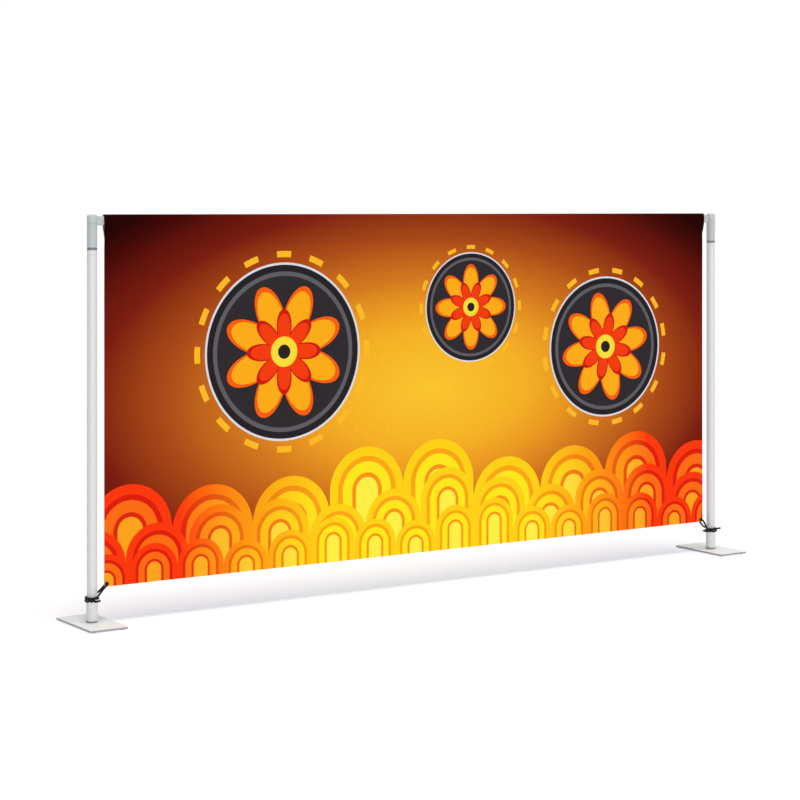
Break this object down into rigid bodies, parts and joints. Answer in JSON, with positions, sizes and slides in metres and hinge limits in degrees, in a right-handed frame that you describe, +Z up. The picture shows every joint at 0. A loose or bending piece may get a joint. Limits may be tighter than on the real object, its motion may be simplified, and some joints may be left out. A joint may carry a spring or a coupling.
{
  "type": "cafe barrier",
  "caption": "Free-standing cafe barrier: a printed banner hung from a flat top rail between swivelling posts on flat base plates, its lower corners tied to the posts.",
  "frame": {"origin": "on the floor, midway between the axes of the posts", "axes": "+X along the rail from the left post to the right one as seen from the printed side, +Y away from the printed side, +Z up"},
  "size_m": [2.1, 0.2, 1],
  "materials": {
    "coated_steel": "satin powder coat",
    "tube": "satin",
    "pale_nylon": "satin moulded",
    "grey_nylon": "satin moulded",
    "dark_nylon": "satin moulded",
    "black_nylon": "satin moulded",
    "rubber": "matte",
    "zinc_steel": "zinc plated",
    "black_metal": "satin black",
    "elastic_cord": "braided",
    "banner_cloth": "printed weave"
  },
  "bodies": {
    "rail_assembly": {"rail_tube": "tube", "banner_panel": "banner_cloth", "rail_head_left": "grey_nylon", "spacer_ring_left": "black_nylon", "swivel_bolt_left": "zinc_steel", "bolt_washer_left": "zinc_steel", "rail_plug_left": "dark_nylon", "rail_screw_left": "zinc_steel", "eyelet_left": "black_metal", "eyelet_washer_left": "black_metal", "corner_tie_left": "elastic_cord", "rail_head_right": "grey_nylon", "spacer_ring_right": "black_nylon", "swivel_bolt_right": "zinc_steel", "bolt_washer_right": "zinc_steel", "rail_plug_right": "dark_nylon", "rail_screw_right": "zinc_steel", "eyelet_right": "black_metal", "eyelet_washer_right": "black_metal", "corner_tie_right": "elastic_cord"},
    "left_post": {"base_plate_left": "coated_steel", "base_gasket_left": "rubber", "base_socket_left": "coated_steel", "base_bolt_left": "zinc_steel", "post_tube_left": "tube", "foot_plug_left": "dark_nylon", "swivel_bush_left": "pale_nylon", "base_pad_left_front_outer": "rubber", "base_pad_left_front_inner": "rubber", "base_pad_left_rear_outer": "rubber", "base_pad_left_rear_inner": "rubber"},
    "right_post": {"base_plate_right": "coated_steel", "base_gasket_right": "rubber", "base_socket_right": "coated_steel", "base_bolt_right": "zinc_steel", "post_tube_right": "tube", "foot_plug_right": "dark_nylon", "swivel_bush_right": "pale_nylon", "base_pad_right_front_outer": "rubber", "base_pad_right_front_inner": "rubber", "base_pad_right_rear_outer": "rubber", "base_pad_right_rear_inner": "rubber"}
  },
  "joints": [
    {"name": "left_swivel", "type": "hinge", "parent": "rail_assembly", "child": "left_post", "pos_m": [-1, 0, 0.9], "axis": [0, 0, 1], "continuous": true},
    {"name": "right_swivel", "type": "hinge", "parent": "rail_assembly", "child": "right_post", "pos_m": [1, 0, 0.9], "axis": [0, 0, 1], "continuous": true}
  ]
}
